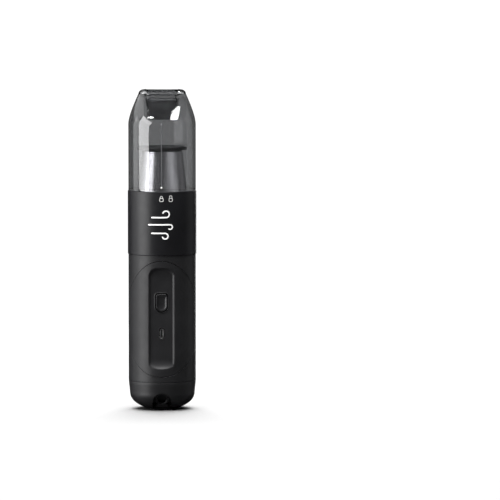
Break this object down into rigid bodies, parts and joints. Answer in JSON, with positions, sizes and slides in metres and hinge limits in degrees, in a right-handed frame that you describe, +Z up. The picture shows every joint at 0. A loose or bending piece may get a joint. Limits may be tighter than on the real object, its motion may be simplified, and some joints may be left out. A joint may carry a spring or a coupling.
{
  "type": "cordless handheld vacuum cleaner",
  "caption": "Slim cordless handheld vacuum with a twist-off smoked dust cup, metal mesh filter, fan motor, push button, charging socket and fold-out hanging loop.",
  "frame": {"origin": "centre of the flat underside of the base cap", "axes": "+Z up the tube to the inlet mouth, -Y towards the front with the power button, +X to the right of that view"},
  "size_m": [0.0632, 0.0632, 0.294],
  "materials": {
    "shell_black": "fine matte texture",
    "collar_black": "satin",
    "gloss_black": "gloss",
    "smoke_clear": "clear smoke tint",
    "black_rubber": "matte",
    "filter_plastic": "matte",
    "etched_steel": "polished, finely pierced",
    "steel": "brushed",
    "pleated_paper": "pleated",
    "inner_plastic": "moulded",
    "magnet": "sintered",
    "core_iron": "laminated",
    "copper": "enamelled wire and copper segments",
    "bronze": "sintered",
    "nickel": "plated",
    "carbon": "sooty",
    "cell_wrap": "shrink wrap",
    "board": "solder mask",
    "chip": "moulded",
    "foam": "open cell foam",
    "wire": "insulated"
  },
  "bodies": {
    "housing": {"base_cap": "shell_black", "rear_shell": "shell_black", "front_cover": "shell_black", "collar": "collar_black", "cup_seal": "black_rubber", "inlet_guard": "inner_plastic", "guard_screws": "steel", "fan_housing": "inner_plastic", "motor_can": "steel", "motor_magnets": "magnet", "motor_end_cap": "inner_plastic", "front_bushing": "bronze", "rear_bushing": "bronze", "carbon_brushes": "carbon", "motor_terminals": "bronze", "motor_mount": "black_rubber", "battery_cell_left": "cell_wrap", "battery_cell_right": "cell_wrap", "cell_links": "nickel", "battery_tray": "inner_plastic", "main_board": "board", "board_chips": "chip", "board_screws": "steel", "tact_switch": "chip", "usb_shell": "steel", "usb_tongue": "chip", "exhaust_foam": "foam", "loop_pin": "steel", "battery_leads": "wire", "motor_leads": "wire"},
    "cup": {"dust_cup": "smoke_clear", "flap_pin": "steel"},
    "flap": {"inlet_flap": "black_rubber"},
    "filter": {"filter_frame": "filter_plastic", "filter_screen": "etched_steel", "filter_cap": "filter_plastic", "hepa_element": "pleated_paper", "filter_seal": "black_rubber"},
    "rotor": {"impeller": "inner_plastic", "motor_shaft": "steel", "armature_core": "core_iron", "armature_windings": "copper", "commutator": "copper"},
    "button": {"power_button": "gloss_black"},
    "loop": {"hanging_loop": "gloss_black"}
  },
  "joints": [
    {"name": "cup_twist", "type": "hinge", "parent": "housing", "child": "cup", "pos_m": [0, 0, 0.2014], "axis": [0, 0, 1], "range_deg": [0, 15.6]},
    {"name": "flap_swing", "type": "hinge", "parent": "cup", "child": "flap", "pos_m": [0, -0.0016, 0.2832], "axis": [-1, 0, 0], "range_deg": [0, 50], "stiffness_Nm_per_rad": 0.0004, "springref_deg": -34.38},
    {"name": "filter_lift", "type": "slide", "parent": "housing", "child": "filter", "axis": [0, 0, 1], "range_m": [0, 0.014]},
    {"name": "fan_spin", "type": "hinge", "parent": "housing", "child": "rotor", "pos_m": [0, 0, 0.15], "axis": [0, 0, 1], "continuous": true},
    {"name": "button_press", "type": "slide", "parent": "housing", "child": "button", "axis": [0, 1, 0], "range_m": [0, 0.0012], "stiffness_N_per_m": 1500, "springref_m": -0.0005},
    {"name": "loop_flip", "type": "hinge", "parent": "housing", "child": "loop", "pos_m": [0, -0.0177, 0.0048], "axis": [1, 0, 0], "range_deg": [0, 150]}
  ]
}
